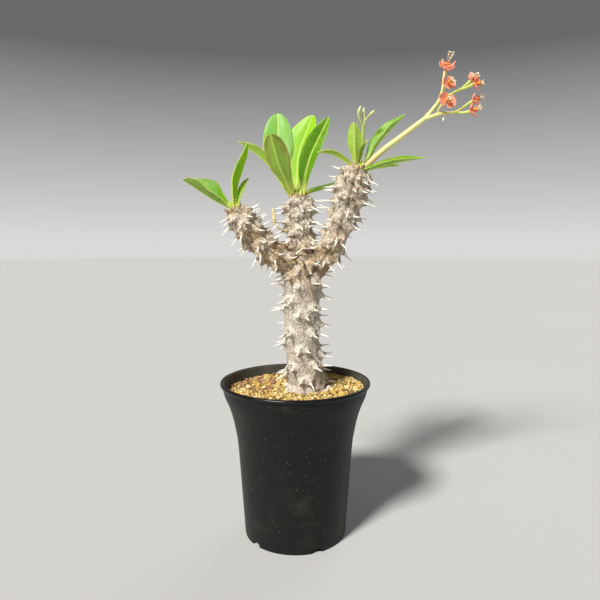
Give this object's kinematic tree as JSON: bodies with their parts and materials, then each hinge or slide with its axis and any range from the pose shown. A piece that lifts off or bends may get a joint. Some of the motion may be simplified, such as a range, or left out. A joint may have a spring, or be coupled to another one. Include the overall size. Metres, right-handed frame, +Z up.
{
  "type": "potted euphorbia",
  "caption": "Small spiny euphorbia with forked grey stem, leaf crowns and a stalk of pink blooms, standing in granular soil in a round black flared pot.",
  "frame": {"origin": "centre of the pot's flat underside, on the pot's axis", "axes": "+Z up along the pot's axis; +X towards the side that the flower stalk leans to; -Y towards the front"},
  "size_m": [0.2016, 0.105, 0.3282],
  "materials": {
    "pot": "smooth black moulded plastic with a soft sheen and a little dust",
    "soil": "loose yellow-brown porous granules, matt",
    "bark": "rough grey-white bark with brown patches, matt, pale spines",
    "leaf": "fleshy green leaf, satin, paler midrib and edge",
    "stalk": "fleshy pale yellow-green stalk, satin",
    "bract": "thin coral-pink bract, satin",
    "cup": "fleshy orange-red cup with yellow glands, satin",
    "dried": "dry tan stalk, matt"
  },
  "bodies": {
    "root": {"pot": "pot", "soil": "soil", "stem": "bark", "leaves_left": "leaf", "leaves_centre": "leaf", "leaves_right": "leaf", "flower_stalk": "stalk", "bud_spray": "stalk", "bloom_1_bracts": "bract", "bloom_1_centre": "cup", "bloom_2_bracts": "bract", "bloom_2_centre": "cup", "bloom_3_bracts": "bract", "bloom_3_centre": "cup", "bloom_4_bracts": "bract", "bloom_4_centre": "cup", "bloom_5_bracts": "bract", "bloom_5_centre": "cup", "bloom_6_bracts": "bract", "bloom_6_centre": "cup", "bloom_7_bracts": "bract", "bloom_7_centre": "cup", "dried_stalk": "dried", "dried_leaf": "dried"}
  },
  "joints": []
}
